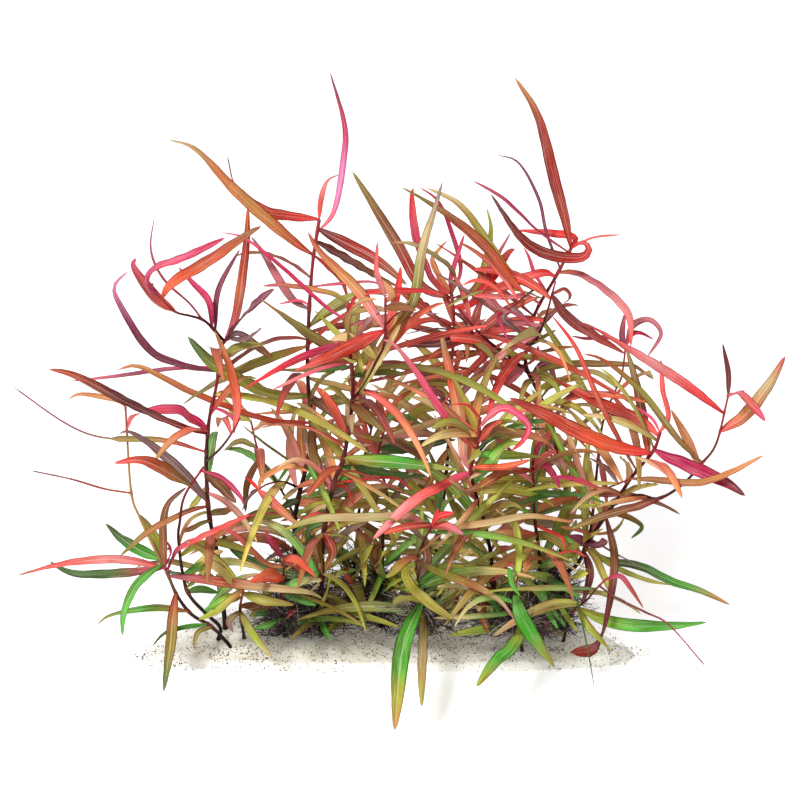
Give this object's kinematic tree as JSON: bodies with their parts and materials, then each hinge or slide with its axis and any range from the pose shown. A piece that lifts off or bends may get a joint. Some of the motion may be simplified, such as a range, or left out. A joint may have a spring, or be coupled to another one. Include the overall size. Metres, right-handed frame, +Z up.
{
  "type": "persicaria plant clump",
  "caption": "Clump of slender red-stemmed aquarium plant shoots with narrow red, brown and green leaves, standing in a thin patch of pale sand.",
  "frame": {"origin": "on the flat underside of the sand, about 8 mm to the right of the middle of the clump's width as seen from the front", "axes": "+X along the row of shoots to the right as seen from the front, +Y towards the back, +Z up"},
  "size_m": [0.3932, 0.2408, 0.3103],
  "materials": {
    "sand": "loose pale grains with dark specks",
    "stem": "dark red, satin",
    "leaf_scarlet": "soft leaf, satin, with a pale midrib",
    "leaf_coral": "soft leaf, satin, with a pale midrib",
    "leaf_pink": "soft leaf, satin, with a pale midrib",
    "leaf_magenta": "soft leaf, satin, with a pale midrib",
    "leaf_brick": "soft leaf, satin, with a pale midrib",
    "leaf_maroon": "soft leaf, satin, with a pale midrib",
    "leaf_tan": "soft leaf, satin, with a pale midrib",
    "leaf_rust": "soft leaf, satin, with a pale midrib",
    "leaf_peach": "soft leaf, satin, with a pale midrib",
    "leaf_brown": "soft leaf, satin, with a pale midrib",
    "leaf_olive": "soft leaf, satin, with a pale midrib",
    "leaf_lime": "soft leaf, satin, with a pale midrib",
    "leaf_green": "soft leaf, satin, with a pale midrib",
    "leaf_fern": "soft leaf, satin, with a pale midrib",
    "leaf_rose": "soft leaf, satin, with a pale midrib",
    "leaf_plum": "soft leaf, satin, with a pale midrib"
  },
  "bodies": {
    "root": {"leaf_a_13": "leaf_brown", "leaf_a_14": "leaf_coral", "leaf_a_3": "leaf_scarlet", "leaf_a_4": "leaf_tan", "leaf_a_5": "leaf_maroon", "leaf_a_8": "leaf_brown", "leaf_b_14": "leaf_tan", "leaf_b_15": "leaf_rust", "leaf_b_18": "leaf_lime", "leaf_b_25": "leaf_fern", "leaf_b_8": "leaf_coral", "leaf_c_1": "leaf_magenta", "leaf_c_13": "leaf_olive", "leaf_c_16": "leaf_coral", "leaf_c_3": "leaf_brown", "leaf_c_7": "leaf_plum", "leaf_e_5": "leaf_rose", "leaf_g_1": "leaf_fern", "leaf_k_1": "leaf_lime", "leaf_m_1": "leaf_green", "leaf_m_13": "leaf_peach", "leaf_p_14": "leaf_magenta", "leaf_p_15": "leaf_scarlet", "leaf_p_16": "leaf_rust", "leaf_p_17": "leaf_brick", "leaf_p_24": "leaf_maroon", "leaf_p_27": "leaf_olive", "leaf_p_7": "leaf_brick", "leaf_p_9": "leaf_tan", "leaf_r_1": "leaf_brick", "leaf_r_10": "leaf_rose", "leaf_r_21": "leaf_peach", "leaf_r_22": "leaf_peach", "leaf_r_4": "leaf_scarlet", "leaf_s_1": "leaf_coral", "leaf_s_7": "leaf_brick", "leaf_v_1": "leaf_pink", "leaf_v_2": "leaf_coral", "sand_bed": "sand", "shoot_a": "stem", "shoot_b": "stem", "shoot_c": "stem", "shoot_d": "stem", "shoot_e": "stem", "shoot_f": "stem", "shoot_g": "stem", "shoot_h": "stem", "shoot_k": "stem", "shoot_m": "stem", "shoot_n": "stem", "shoot_p": "stem", "shoot_r": "stem", "shoot_s": "stem", "shoot_t": "stem", "shoot_u": "stem", "shoot_v": "stem", "shoot_w": "stem"}
  },
  "joints": []
}
